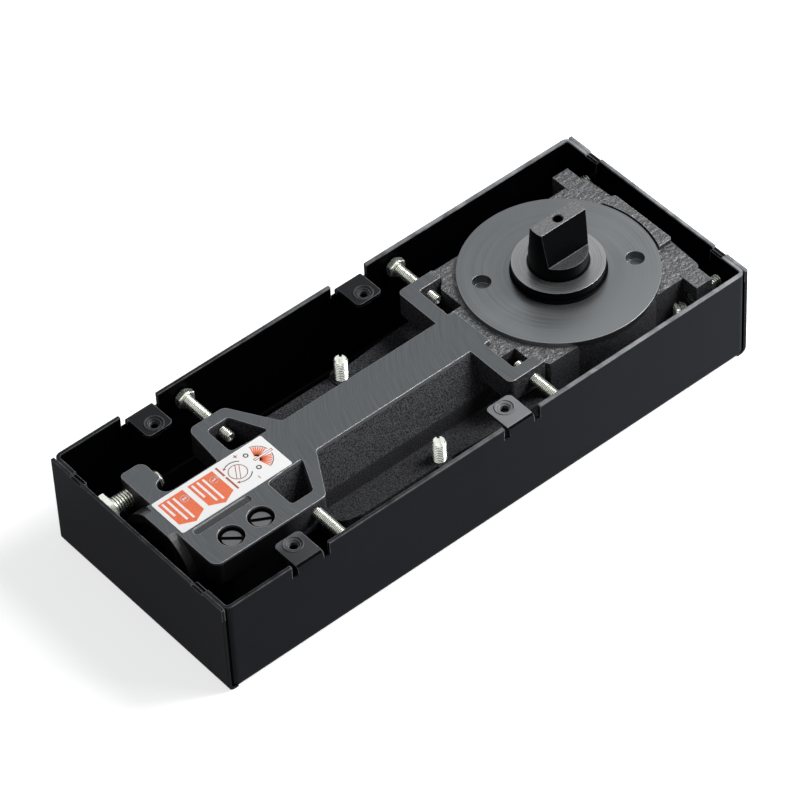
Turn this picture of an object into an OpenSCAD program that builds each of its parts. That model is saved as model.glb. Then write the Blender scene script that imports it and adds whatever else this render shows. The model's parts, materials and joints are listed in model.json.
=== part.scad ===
// Floor spring door closer in its cement box.
// The frame: origin on the underside of the box, in the middle of its plan; +X runs along the box
// towards the spindle, +Y towards the far long wall, +Z up. Sizes are in millimetres.

/* [Cement box] */
// Room from the closer's front boss to the outside of the front end wall
front_room = 10.3; // [9:0.1:30]
// Room from the rear brackets to the inside of each long wall
side_room = 18.3; // [16:0.1:28]
// Height of the rim above the floor slab
box_h = 48; // [47:0.5:60]
// Thickness of the sheet steel
sheet = 1.5; // [1.2:0.1:2]
// Outer radius of the bends along the floor
bend_r = 3; // [2.5:0.1:4]
// Outer radius of the upright corners
corner_r = 3; // [2.5:0.1:5]
// Length of the lap folded behind each end wall
lap = 17; // [10:1:25]
// Length of the weld notch in the rim at the end of each lap
notch_l = 7; // [3:0.5:10]
// Depth of the weld notch
notch_deep = 1; // [0.5:0.1:2]

/* [Cover plate tabs] */
// Width of a tab
tab_w = 13; // [12:0.5:20]
// Reach of a tab in from the outside of the wall
tab_reach = 15.6; // [13:0.1:18]
// Depth of the tabs' upper face below the rim
tab_drop = 2.6; // [1.5:0.1:5]
// Width of the gap beside a tab
tab_relief = 3; // [1:0.5:6]
// Middle of the front pair of tabs, forward of the spindle
tab_front = 177.6; // [175:0.1:190]
// Middle of the rear pair of tabs, forward of the spindle
tab_rear = 68.1; // [64:0.1:75]
// Distance of the tab holes from the tip of the tab
tab_hole_in = 4.6; // [4.2:0.1:6]
// Tapped hole in a tab
tab_hole_d = 4.2; // [3.3:0.1:5]

/* [Closer body] */
// Distance of the spindle from the outside of the rear end wall
spindle_from_end = 55.4; // [54.6:0.1:70]
// Height of the machined top face
top_z = 45; // [44.5:0.1:45.5]
// Height of the underside of the casting
base_z = 4; // [3.5:0.1:4.5]
// Height of the cylinder's axis
axis_z = 25; // [24.9:0.1:25.3]
// Bore of the cylinder
bore_d = 28; // [27.6:0.1:28.4]
// Outside of the cylinder
cylinder_d = 40; // [38:0.5:42]
// Outside of the round boss at the front end
boss_d = 42.6; // [42:0.1:43.4]
// Width of the machined neck
neck_w = 21.4; // [20:0.1:24]
// Front edge of the machined face, forward of the spindle
front_reach = 207.4; // [205:0.1:207.6]
// Front face of the round boss, forward of the spindle
boss_reach = 211.3; // [210:0.1:213]
// Half width over the front ears
front_half = 32.5; // [31:0.1:34]
// Half width over the rear brackets
rear_half = 35.2; // [34:0.1:38]
// Depth of the ears and brackets
ear_deep = 12; // [10.5:0.5:13]
// Thickness of the outer wall of the ears and brackets
ear_wall = 5.5; // [5:0.1:7]
// Diameter of the round casting that carries the bearing cover
seat_d = 84; // [82.5:0.5:84.5]
// Rear face of the casting, behind the spindle
rear_reach = 47.1; // [46.5:0.1:48]
// Half width of the cam housing
rear_block_half = 36.3; // [35.5:0.1:36.8]
// Height of the edge along the cylinder's sides, where the draft ends
side_edge_z = 29.5; // [28.5:0.1:31]
// Height of the side flanges' outer edge
flange_z = 23; // [20:0.5:24]

/* [Spindle] */
// Diameter of the spindle
spindle_d = 25; // [24:0.1:25.2]
// Height of the spindle's upper end
spindle_top_z = 74.7; // [70:0.1:90]
// Height at which the tapered flats begin
flat_start_z = 57.5; // [54:0.1:60]
// Thickness across the flats at their lower end
flat_low = 12.6; // [12:0.1:14]
// Thickness across the flats at the upper end
flat_high = 7.2; // [7:0.1:9]
// Tapped hole for the fixing screw of the door strap
spindle_hole_d = 4.2; // [3.3:0.1:5]
// Depth of that hole
spindle_hole_deep = 14; // [8:1:16]
// Largest opening angle of the door
open_angle = 130; // [90:5:130]

/* [Bearing cover and collar] */
// Diameter of the cover's flange
cover_d = 84.7; // [83.5:0.1:85]
// Thickness of the cover's flange
cover_t = 2.5; // [2:0.1:3]
// Diameter of the cover's threaded spigot
spigot_d = 77; // [76:0.1:78]
// Pitch circle of the two spanner holes
spanner_pcd = 64.4; // [60:0.1:68]
// Diameter of the spanner holes
spanner_hole_d = 8; // [6:0.1:9]
// Depth of the spanner holes
spanner_hole_deep = 4.5; // [3:0.1:5]
// Angle of the spanner holes from the box's length
spanner_angle = 150; // [0:1:180]
// Diameter of the raised collar
collar_d = 39.2; // [39:0.1:44]
// Height of the collar above the cover
collar_h = 5.6; // [5.4:0.1:7]
// Height of the lip at the foot of the collar
collar_lip_h = 1.2; // [0.8:0.1:2]
// Diameter of that lip
collar_lip_d = 40.8; // [40:0.1:46]

/* [Bearings and seals] */
// Radial section of the upper ball bearing
bearing_section = 6; // [5.8:0.1:6.4]
// Width of the upper ball bearing
bearing_w = 7; // [6.6:0.1:7]
// Number of balls
ball_count = 16; // [10:1:18]
// Wall of the lower bearing bush
bush_wall = 2.6; // [2:0.1:3]
// Outside diameter of the shaft seal
seal_d = 32; // [30:0.1:33]
// Height of the shaft seal
seal_h = 4; // [3:0.1:4.2]

/* [Cam, roller and piston] */
// Travel of the piston from closed to the largest opening
stroke = 12; // [8:0.5:13]
// Distance from the spindle to the roller with the door closed
roller_from_spindle = 24; // [23.8:0.1:24.6]
// Diameter of the roller
roller_d = 18; // [17.4:0.1:18.2]
// Width of the roller and of the cam
cam_t = 15; // [13:0.1:15.4]
// Diameter of the roller's pin
roller_pin_d = 7; // [5:0.1:8]
// Length of the piston in front of its fork
piston_head = 36; // [30:0.5:44]
// Height over the two tines of the fork
fork_h = 25.2; // [25:0.1:25.4]
// Diameter of the check valve's ball
check_ball_d = 5; // [4:0.1:5.2]

/* [Closing spring and end plug] */
// Diameter of the spring wire
wire_d = 3.4; // [2.5:0.1:4]
// Outside diameter of the spring
spring_d = 26.6; // [24:0.1:27]
// Number of turns
spring_turns = 11; // [8:1:14]
// Diameter of the threaded end plug
plug_d = 34; // [33:0.1:35]
// Length of the end plug
plug_l = 14; // [12:0.5:16]

/* [Speed valves] */
// Closing speed valve, forward of the spindle
closing_valve_x = 192.4; // [190:0.1:194]
// Latch speed valve, forward of the spindle
latch_valve_x = 177.5; // [176:0.1:178.5]
// Distance of both valves from the middle of the body
valve_y = 23.8; // [22.8:0.1:24.5]
// Diameter of a valve's stem
valve_stem_d = 8; // [7.2:0.1:8.4]
// Diameter of a valve's slotted head
valve_head_d = 9.8; // [9.4:0.1:10.4]
// Diameter of the recess round the head
valve_recess_d = 11.2; // [11:0.1:12]
// Depth of the head below the machined face
valve_sink = 2.7; // [1:0.1:3]

/* [Setting screws] */
// Thread diameter of the side screws
side_screw_d = 5; // [4:0.1:5.4]
// Width across the flats of their heads
side_head_af = 8; // [7.5:0.1:9]
// Thickness of their heads
side_head_t = 3.5; // [2.5:0.1:4]
// Length of a side screw's tip that stands in its pocket
side_tip = 5; // [1:0.5:6]
// Thread diameter of the levelling and rear end screws
set_screw_d = 6; // [5:0.1:6.2]
// Height of the levelling screws' slotted ends
level_top_z = 33; // [30:0.5:36]
// Thread diameter of the front end screw
end_screw_d = 8; // [6:0.1:8.4]
// Diameter of its flanged head
end_head_d = 15; // [12:0.5:16]

/* [Adjustment label] */
// Length of the label
label_l = 55.8; // [40:0.1:60]
// Width of the label
label_w = 20.4; // [10:0.1:21]
// Thickness of the label
label_t = 0.2; // [0.1:0.05:0.4]

/* [Fits] */
// Radial clearance of a part that turns or slides in a bore
run_gap = 0.05; // [0.02:0.01:0.08]
// Radial clearance of a part that is seated for good
seat_gap = 0.02; // [0.01:0.01:0.03]
// Clearance between faces that pass or nearly touch
face_gap = 0.1; // [0.05:0.05:0.15]

/* [Hidden] */
$fn = 72;

eps = 0.01;        // overlap of solids that are joined, and overrun of cuts
black = "#26282b";
casting = "#55585c";
steel = "#8d9094";
zinc = "#d7dbd0";
rubber = "#1c1c1e";
bronze = "#b08d57";

// the box goes round the closer
box_l = boss_reach + spindle_from_end + front_room;
box_w = 2 * (rear_half + side_room + sheet);

// places along the box
spindle_x = box_l / 2 - spindle_from_end;
wall_in_y = box_w / 2 - sheet;
wall_in_x = box_l / 2 - sheet;
neck_half = neck_w / 2;
ear_z = top_z - ear_deep;

// plan of the ears, brackets and rear block, from the spindle
ear_front = -169.4;          // front leg of the front ears
ear_back = -151.3;           // rear end of their outer wall
ear_root = -138.5;           // where the sloping leg meets the neck
ear_leg = 5;                 // thickness of the front leg
lug_back = -194;             // rear side of the front lug
lug_front = -205.5;          // front side of the front lug
face_end = -47.4;            // rear end of the machined neck
bracket_front = -57.3;       // front leg of the rear brackets
bracket_back = -38.1;        // rear end of the rear brackets
bracket_leg = 6.8;           // thickness of their front leg
rear_lug_x = [36, 44.5];     // rear lugs, along the box
rear_lug_half = rear_block_half + 8.3;   // reach of the rear lugs
rear_lug_z = 43;
housing_front = -41.5;       // front face of the cam housing
web_near = 19.9;             // reach of the webs from the neck to the housing
web_far = 13.2;
flange_front = -144.5;       // front end of the side flanges
flange_half = 33.8;          // their reach
flange_rise = 3;             // their outer edge above their root
ledge_half = 17.7;           // half width of the raised rear ledge
valve_block_x = [-201, -170];

// bearing cover, bearings and chamber
cover_top_z = top_z + 0.2;
cover_seat_z = cover_top_z - cover_t;
chamber_top_z = 38.2;
chamber_d = 68;
tine_low_z = axis_z - fork_h / 2;
chamber_floor_z = tine_low_z - 0.8;
bearing_z = 39;
bearing_top_z = bearing_z + bearing_w;
cam_low_z = axis_z - cam_t / 2;
cam_top_z = axis_z + cam_t / 2;
bush_low_z = base_z + 1.8;
bush_d = spindle_d + 2 * (run_gap + bush_wall);
bush_boss_d = bush_d + 3.4;
washer_t = 1;
bush_top_z = cam_low_z - face_gap - washer_t;
bearing_d = spindle_d + 2 * bearing_section;
ball_ring_r = (spindle_d + bearing_section) / 2;
ball_d = 0.6 * bearing_section;
ring_wall = bearing_section / 2 - ball_d * 0.32;
collar_top_z = cover_top_z + collar_h;
key_w = 6;
key_deep = 3;

// cam and piston
roller_x = -roller_from_spindle;
fork_back = roller_x + 6.5;
fork_slot_h = cam_t + 5 * face_gap;
fork_root = roller_x - roller_d / 2 - 1;
fork_front = -spigot_d / 2 - 1;                // flatted from here, to pass under the cover
piston_front = fork_root - piston_head;
piston_d = bore_d - 2 * run_gap;
ring_x = piston_front + 6;
ring_w = 3;
ring_deep = 2.5;
cage_d = check_ball_d + 4;
cage_l = 7;
passage_d = 3;
cam_rate = stroke / (open_angle * PI / 180);   // travel per radian
blend_angle = 30;                              // the lift eases off over this angle
key_x = spindle_d / 2;

// spring, plug and valves
plug_front = -boss_reach + 1.8;
plug_back = plug_front + plug_l;
seat_t = 3;
seat_spigot = 4;
seat_hole_d = 6;
spring_front = plug_back + seat_t;
bore_front = plug_back;
spring_r = (spring_d - wire_d) / 2;
valve_top_z = top_z - valve_sink;
valve_head_t = 3.2;
valve_seat_z = axis_z - 4;
valve_needle = 4;
ring_z = valve_top_z - valve_head_t - 4;
valve_ring_r = 0.65;
slot_w = 1.3;
valve_slot_w = 1.7;
slot_deep = 2;
channel_d = 3;
channel_y = -(bore_d + cylinder_d) / 4;

// setting screws
side_front_x = -156.3;
side_rear_x = -44.6;
side_z = top_z - ear_deep / 2;
level_mid = [-92, 31];
level_rear = [31, rear_block_half + 3.7];
level_boss_d = 10;
level_boss_z = 22.8;
rear_boss_z = 24;
lap_end = box_w / 2 - corner_r - lap;   // the laps stop here, beside the front end screw
end_front = [lap_end - end_head_d / 2 - 1.5, axis_z + 11.5];
lug_half = end_front[0] + 5.1;          // reach of the front lug
end_rear = [rear_block_half + 4, axis_z + 9];
end_screw_tip = 4;
end_head_t = 3;

// groove and label on the machined face
groove = [-202.5, -173.9];
groove_y = -13;
groove_w = 3.4;
groove_deep = 0.5;
label_mid = -178;

// ---- plane geometry ---------------------------------------------------------------

function unit(v) = v / norm(v);
function turn_of(a, b) = sign(a.x * b.y - a.y * b.x);

// the arc, as a list of points, that rounds the corner at q on the way from p to s
function rounded_corner(p, q, s, r, n) =
    r <= 0 ? [[q.x, q.y]] :
    let (u = unit([p.x - q.x, p.y - q.y]),
         v = unit([s.x - q.x, s.y - q.y]),
         half = acos(u * v) / 2,
         centre = [q.x, q.y] + unit(u + v) * r / sin(half),
         from = [q.x, q.y] + u * r / tan(half) - centre,
         a = atan2(from.y, from.x),
         sweep = turn_of(-u, v) * (180 - 2 * half))
    [for (i = [0:n]) centre + r * [cos(a + sweep * i / n), sin(a + sweep * i / n)]];

// an outline of corners [x, y, radius]
function outline(corners, n = 6) =
    let (last = len(corners) - 1)
    [for (i = [0:last])
        each rounded_corner(corners[i == 0 ? last : i - 1], corners[i],
                            corners[i == last ? 0 : i + 1], corners[i][2], n)];

function rectangle(x0, x1, y0, y1, r = 0) = [[x0, y0, r], [x1, y0, r], [x1, y1, r], [x0, y1, r]];

module prism(corners, z0, z1) {
    translate([0, 0, z0]) linear_extrude(z1 - z0) polygon(outline(corners));
}

module block(x0, x1, y0, y1, z0, z1) {
    translate([x0, y0, z0]) cube([x1 - x0, y1 - y0, z1 - z0]);
}

module rod_x(x0, x1, y, z, d) {
    translate([x0, y, z]) rotate([0, 90, 0]) cylinder(h = x1 - x0, d = d);
}

module rod_y(x, y0, y1, z, d) {
    translate([x, y1, z]) rotate([90, 0, 0]) cylinder(h = y1 - y0, d = d);
}

module rod_z(x, y, z0, z1, d) {
    translate([x, y, z0]) cylinder(h = z1 - z0, d = d);
}

module both_sides() {
    children();
    mirror([0, 1, 0]) children();
}

module both_ends() {
    children();
    mirror([1, 0, 0]) children();
}

// the closer's own parts are placed from the spindle's axis
module at_spindle() {
    translate([spindle_x, 0, 0]) children();
}

module hexagon_rod(af, h) {
    cylinder(h = h, d = af / cos(30), $fn = 6);
}

module ring(inner_d, outer_d, z0, z1) {
    difference() {
        rod_z(0, 0, z0, z1, outer_d);
        rod_z(0, 0, z0 - 1, z1 + 1, inner_d);
    }
}

module torus(r, wire_r) {
    rotate_extrude() translate([r, 0]) circle(wire_r, $fn = 32);
}

// ---- cement box: one folded sheet --------------------------------------------------

seam = 0.2;                                  // between a lap and its end wall
lap_x = wall_in_x - seam;                    // outer face of the laps
corner_x = lap_x - corner_r;                 // where the long walls start to turn
tab_z = box_h - tab_drop;
relief_z = tab_z - 4;
tab_bend = 2.6;
tab_collar = 2.2;
tab_places = [spindle_x - tab_front, spindle_x - tab_rear];

// floor and long walls, as a channel along the box
module channel() {
    w = box_w / 2;
    translate([-corner_x, 0, 0]) rotate([90, 0, 90]) linear_extrude(2 * corner_x)
        polygon(outline([
            [-w, box_h, 0], [-w, 0, bend_r], [w, 0, bend_r], [w, box_h, 0],
            [w - sheet, box_h, 0], [w - sheet, sheet, bend_r - sheet],
            [-w + sheet, sheet, bend_r - sheet], [-w + sheet, box_h, 0]]));
}

// an end wall, folded up outside the laps; its upright edges stand proud of the corners
module end_wall() {
    half = box_w / 2 - sheet / 2;
    translate([0, half, 0]) rotate([90, 0, 0]) linear_extrude(2 * half)
        polygon(outline([
            [corner_x - eps, 0, 0], [box_l / 2, 0, bend_r], [box_l / 2, box_h, 0],
            [wall_in_x, box_h, 0], [wall_in_x, sheet, bend_r - sheet],
            [corner_x - eps, sheet, 0]]));
}

// the rounded upright corner and the lap behind the end wall
module corner_lap() {
    w = box_w / 2;
    prism([[corner_x - eps, w, 0], [lap_x, w, corner_r], [lap_x, lap_end, 0],
           [lap_x - sheet, lap_end, 0], [lap_x - sheet, w - sheet, corner_r - sheet],
           [corner_x - eps, w - sheet, 0]], bend_r, box_h);
}

// a tab folded inwards below the rim, with its extruded and tapped hole
module cover_tab(x) {
    w = box_w / 2;
    tip = w - tab_reach;
    hole_y = tip + tab_hole_in;
    difference() {
        union() {
            intersection() {
                translate([x - tab_w / 2, 0, 0]) rotate([90, 0, 90]) linear_extrude(tab_w)
                    polygon(outline([
                        [w, relief_z - eps, 0], [w, tab_z, tab_bend], [tip, tab_z, 0],
                        [tip, tab_z - sheet, 0], [w - sheet, tab_z - sheet, tab_bend - sheet],
                        [w - sheet, relief_z - eps, 0]]));
                prism([[x - tab_w / 2 - 1, w + 1, 0], [x - tab_w / 2, tip, 2.5],
                       [x + tab_w / 2, tip, 2.5], [x + tab_w / 2 + 1, w + 1, 0]],
                      relief_z - 1, box_h);
            }
            rod_z(x, hole_y, tab_z - sheet - tab_collar, tab_z - sheet + eps, tab_hole_d + 2.8);
        }
        rod_z(x, hole_y, tab_z - sheet - tab_collar - 1, tab_z + 1, tab_hole_d);
        translate([x, hole_y, tab_z - 0.8])
            cylinder(h = 1.6, d1 = tab_hole_d, d2 = tab_hole_d + 6);
    }
}

module cement_box() {
    color(black) {
        difference() {
            union() {
                channel();
                both_ends() end_wall();
                both_ends() both_sides() corner_lap();
            }
            both_ends() both_sides()
                block(lap_x - sheet - 1, box_l / 2 + 1, lap_end - eps, lap_end + notch_l,
                      box_h - notch_deep, box_h + 1);
            for (x = tab_places)
                both_sides()
                    block(x - tab_w / 2 - tab_relief, x + tab_w / 2 + tab_relief,
                          wall_in_y - 1, box_w / 2 + 1, relief_z, box_h + 1);
        }
        for (x = tab_places) both_sides() cover_tab(x);
    }
}

// ---- closer body: one casting, placed from the spindle's axis ----------------------

// pocket inside a front ear
pocket = [[ear_front + ear_leg, neck_half + 0.8, 2], [ear_root - 6.7, neck_half - 0.7, 1.5],
          [ear_back - 2, front_half - ear_wall, 2],
          [ear_front + ear_leg, front_half - ear_wall, 2]];

// machined face of the front end: the valve corner, both ears and the front lug
module front_face() {
    difference() {
        prism([[-front_reach, -front_half, 4], [ear_back, -front_half, 3.5],
               [ear_root, -neck_half, 2], [ear_root + 20, -neck_half, 0],
               [ear_root + 20, neck_half, 0], [ear_root, neck_half, 2],
               [ear_back, front_half, 3.5], [ear_front, front_half, 3.5],
               [ear_front - 2, neck_half, 1.5], [-front_reach, neck_half, 0]],
              ear_z, top_z);
        prism(pocket, ear_z - 1, top_z + 1);
        prism([for (p = pocket) [p.x, -p.y, p[2]]], ear_z - 1, top_z + 1);
    }
    difference() {
        prism([[lug_front, 0, 0], [lug_back, 0, 0], [lug_back, lug_half, 3.5],
               [lug_front, lug_half, 2]], ear_z - 3, top_z);
        rod_z(lug_back - 0.3, neck_half + 4.2, ear_z - 4, top_z + 1, 8);
    }
}

// rear bracket: a bar across the neck with an arm at each end, and the end of the neck
module rear_face() {
    arm = rear_half - ear_wall;
    leg_x = bracket_front + bracket_leg;
    both_sides()
        prism([[bracket_front, 0, 0], [leg_x, 0, 0], [leg_x, arm, 1.5], [bracket_back, arm, 1.2],
               [bracket_back, rear_half, 1.2], [bracket_front, rear_half, 2.5]], ear_z, top_z);
    prism([[bracket_front - 1, -neck_half, 0], [leg_x, -neck_half - 0.8, 0],
           [face_end, -neck_half - 0.4, 0.5], [face_end, neck_half - 0.2, 0.5],
           [leg_x, neck_half, 0], [bracket_front - 1, neck_half, 0]], ear_z, top_z);
    prism([[bracket_front + 1, -web_near, 0], [housing_front + 1, -web_near, 0],
           [housing_front + 1, web_far, 0], [bracket_front + 1, web_far, 0]],
          ear_z - 8, cover_seat_z);
}

// body of the cylinder: drafted sides under the neck, then upright to the base
module barrel() {
    half = cylinder_d / 2;
    difference() {
        translate([-front_reach, 0, 0]) rotate([90, 0, 90])
            linear_extrude(front_reach + housing_front + 1)
                polygon(outline([
                    [-neck_half, top_z, 0], [-half, side_edge_z, 1.2], [-half, 12, 5],
                    [-12, base_z, 3], [12, base_z, 3], [half, 12, 5], [half, side_edge_z, 1.2],
                    [neck_half, top_z, 0]]));
        block(face_end, housing_front + 2, -neck_w, neck_w, cover_seat_z, top_z + 1);
    }
}

// side flange, rising outwards, with the boss of the middle levelling screw
module side_flange() {
    half = cylinder_d / 2;
    intersection() {
        translate([-front_reach, 0, 0]) rotate([90, 0, 90]) linear_extrude(front_reach)
            polygon([[half - 2, base_z + 4], [flange_half + 4, base_z + 4],
                     [flange_half + 4, flange_z + 4 * flange_rise / (flange_half - half)],
                     [flange_half, flange_z], [half - 2, flange_z - flange_rise]]);
        prism([[flange_front, half - 3, 0], [flange_front, flange_half - 3, 6],
               [flange_front + 9, flange_half, 6], [level_mid.x + 4, flange_half, 20],
               [bracket_front, flange_half + 2, 12], [housing_front + 2, flange_half + 2, 0],
               [housing_front + 2, half - 3, 0]], base_z, top_z);
    }
    rod_z(level_mid.x, level_mid.y, base_z + 4, level_boss_z, level_boss_d);
}

// housing of the cam chamber with its raised ledge, and the rear lugs
module rear_casting() {
    half = rear_block_half;
    prism([[housing_front, -half + 5.5, 1], [housing_front + 4, -half + 1.5, 1],
           [housing_front + 4.5, -half, 1], [rear_reach - 1, -half, 3],
           [rear_reach, -ledge_half, 0], [rear_reach, ledge_half, 0],
           [rear_reach - 1, half, 3], [housing_front + 4.5, half, 1],
           [housing_front + 4, half - 6, 1.5], [housing_front, half - 10, 1.5]],
          base_z, cover_seat_z);
    rod_z(0, 0, base_z, cover_seat_z, seat_d);
    difference() {
        prism([[20, -ledge_half, 0], [rear_reach, -ledge_half, 1.5],
               [rear_reach, ledge_half, 1.5], [20, ledge_half, 0]], cover_seat_z - 4, top_z);
        rod_z(0, 0, cover_seat_z - 5, top_z + 1, cover_d + 2.5);
    }
    both_sides() {
        block(rear_lug_x[0], rear_lug_x[1], rear_block_half - 2, rear_lug_half,
              axis_z - 1, rear_lug_z);
        rod_z(level_rear.x, level_rear.y, base_z + 4, rear_boss_z, 14);
        block(level_rear.x - 7, level_rear.x + 7, rear_block_half - 6, level_rear.y,
              base_z + 4, rear_boss_z);
    }
}

// space for the cam, round the boss that holds the lower bush
module cam_chamber() {
    difference() {
        rod_z(0, 0, chamber_floor_z, chamber_top_z + eps, chamber_d);
        rod_z(0, 0, chamber_floor_z - 1, bush_top_z - 0.2, bush_boss_d);
    }
    rod_z(0, 0, chamber_top_z, top_z + 1, spigot_d + 2 * seat_gap);
    rod_z(0, 0, bush_low_z, chamber_top_z, bush_d + 2 * seat_gap);
}

// recess, stem bore and oil ways of one speed valve
module valve_bore(reach) {
    rod_z(-reach, -valve_y, valve_top_z - valve_head_t - face_gap, top_z + 1, valve_recess_d);
    rod_z(-reach, -valve_y, valve_seat_z, top_z, valve_stem_d + 2 * run_gap);
    rod_z(-reach, -valve_y, valve_seat_z - 6, top_z, valve_needle * 0.7);
    rod_y(-reach, -valve_y, -bore_d / 2 + 5, valve_seat_z - 5, 2.2);
    rod_y(-reach, -valve_y, channel_y, axis_z + 1, 2.2);
}

module closer_body() {
    side_hole = side_screw_d + 2 * run_gap;
    set_hole = set_screw_d + 2 * run_gap;
    color(casting) at_spindle() difference() {
        intersection() {
            union() {
                barrel();
                rod_x(-boss_reach, lug_back - 1, 0, axis_z, boss_d);
                front_face();
                prism(rectangle(valve_block_x[0], valve_block_x[1], -front_half + 1, -8, 3),
                      valve_seat_z - 8, top_z - 1);
                rear_face();
                both_sides() side_flange();
                rear_casting();
            }
            block(-boss_reach - 1, rear_reach + 1, -box_w, box_w, base_z, top_z);
        }
        rod_x(bore_front - eps, -bush_boss_d / 2 - 2, 0, axis_z, bore_d);
        rod_x(-boss_reach - 1, plug_back, 0, axis_z, plug_d + 2 * seat_gap);
        cam_chamber();
        rod_x(-closing_valve_x - 2, -chamber_d / 2 + 6, channel_y, axis_z + 1, channel_d);
        valve_bore(closing_valve_x);
        valve_bore(latch_valve_x);
        for (side = [1, -1]) {
            rod_y(side_front_x, side > 0 ? 16 : -front_half - 1,
                  side > 0 ? front_half + 1 : -16, side_z, side_hole);
            rod_y(side_rear_x, side > 0 ? 22 : -rear_half - 1,
                  side > 0 ? rear_half + 1 : -22, side_z, side_hole);
            rod_z(level_mid.x, side * level_mid.y, 0, top_z - 1, set_hole);
            rod_z(level_rear.x, side * level_rear.y, 0, rear_boss_z + 1, set_hole);
            rod_x(rear_lug_x[0] - 1, rear_lug_x[1] + 1, side * end_rear[0], end_rear[1],
                  set_hole);
        }
        rod_x(lug_front - 1, lug_back + 1, end_front[0], end_front[1],
              end_screw_d + 2 * run_gap);
        block(groove[0] + groove_w / 2, groove[1] - groove_w / 2, groove_y - groove_w / 2,
              groove_y + groove_w / 2, top_z - groove_deep, top_z + 1);
        for (x = [groove[0] + groove_w / 2, groove[1] - groove_w / 2])
            rod_z(x, groove_y, top_z - groove_deep, top_z + 1, groove_w);
    }
}

// ---- bearing cover, collar and spindle ---------------------------------------------

cover_ring_r = 0.55;
cover_ring_z = chamber_top_z + 1.6;

module bearing_cover() {
    color(steel) at_spindle() difference() {
        union() {
            rod_z(0, 0, cover_seat_z, cover_top_z, cover_d);
            rod_z(0, 0, chamber_top_z, cover_seat_z + eps, spigot_d);
        }
        rod_z(0, 0, bearing_z, cover_top_z + 1, bearing_d + 2 * seat_gap);
        rod_z(0, 0, chamber_top_z - 1, cover_top_z, spindle_d + 4.4);
        for (a = [spanner_angle, spanner_angle + 180])
            rotate([0, 0, a]) rod_z(spanner_pcd / 2, 0, cover_top_z - spanner_hole_deep,
                                    cover_top_z + 1, spanner_hole_d);
        difference() {
            rod_z(0, 0, cover_ring_z - cover_ring_r - 0.05, cover_ring_z + cover_ring_r + 0.05,
                  spigot_d + 1);
            rod_z(0, 0, cover_ring_z - 2, cover_ring_z + 2, spigot_d - 4 * cover_ring_r - 0.1);
        }
    }
}

module cover_o_ring() {
    color(rubber) at_spindle() translate([0, 0, cover_ring_z])
        torus(spigot_d / 2 - cover_ring_r, cover_ring_r);
}

seal_z = bearing_top_z + 0.15;

module spindle_collar() {
    color(steel) at_spindle() difference() {
        union() {
            rod_z(0, 0, cover_top_z, collar_top_z, collar_d);
            rod_z(0, 0, cover_top_z, cover_top_z + collar_lip_h, collar_lip_d);
        }
        rod_z(0, 0, cover_top_z - 1, bearing_top_z + 0.1, bearing_d + 2 * seat_gap);
        rod_z(0, 0, cover_top_z, seal_z + seal_h + 0.05, seal_d + 2 * seat_gap);
        rod_z(0, 0, cover_top_z, collar_top_z + 1, spindle_d + 1.2);
    }
}

module shaft_seal() {
    color(rubber) at_spindle() difference() {
        ring(spindle_d + 2 * run_gap, seal_d, seal_z, seal_z + seal_h);
        ring(spindle_d + 2.2, seal_d - 2.2, seal_z - 1, seal_z + seal_h - 1.2);
    }
}

module spindle() {
    low_z = bush_low_z + 0.3;
    shoulder_d = spindle_d + 3;
    color("#3a3c40") at_spindle() difference() {
        union() {
            rod_z(0, 0, low_z, flat_start_z, spindle_d);
            rod_z(0, 0, cam_top_z, bearing_z, shoulder_d);
            intersection() {
                rod_z(0, 0, flat_start_z - 1, spindle_top_z, spindle_d);
                rotate([90, 0, 90]) translate([0, 0, -spindle_d])
                    linear_extrude(2 * spindle_d)
                        polygon([[-flat_low / 2, flat_start_z - 1], [flat_low / 2, flat_start_z - 1],
                                 [flat_low / 2, flat_start_z], [flat_high / 2, spindle_top_z],
                                 [-flat_high / 2, spindle_top_z], [-flat_low / 2, flat_start_z]]);
            }
        }
        rod_z(0, 0, spindle_top_z - spindle_hole_deep, spindle_top_z + 1, spindle_hole_d);
        translate([0, 0, spindle_top_z - 0.4])
            cylinder(h = 0.8, d1 = spindle_hole_d, d2 = spindle_hole_d + 1.6);
        block(key_x - key_deep, key_x + 1, -key_w / 2 - seat_gap, key_w / 2 + seat_gap,
              cam_low_z, cam_top_z - eps);
    }
}

module cam_key() {
    color(steel) at_spindle()
        block(key_x - key_deep + seat_gap, key_x + key_deep, -key_w / 2, key_w / 2,
              cam_low_z + face_gap, cam_top_z - face_gap);
}

// distance of the roller from the spindle when the cam has turned by t degrees
function lift(t) =
    t <= open_angle ? cam_rate * t * PI / 180 :
    let (u = min(t - open_angle, blend_angle))
    stroke + cam_rate * (u - u * u / (2 * blend_angle)) * PI / 180;
function lift_rate(t) =
    t <= open_angle ? cam_rate : cam_rate * max(0, 1 - (t - open_angle) / blend_angle);

// point of the cam's flank touched by the roller at t degrees, on side +1 or -1
function flank(t, side) =
    let (d = roller_from_spindle + lift(t),
         a = 180 - side * t,
         out = [cos(a), sin(a)],
         along = [-sin(a), cos(a)],
         inward = unit(-d * out - side * lift_rate(t) * along))
    d * out + (roller_d / 2 + face_gap / 2) * inward;

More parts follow.
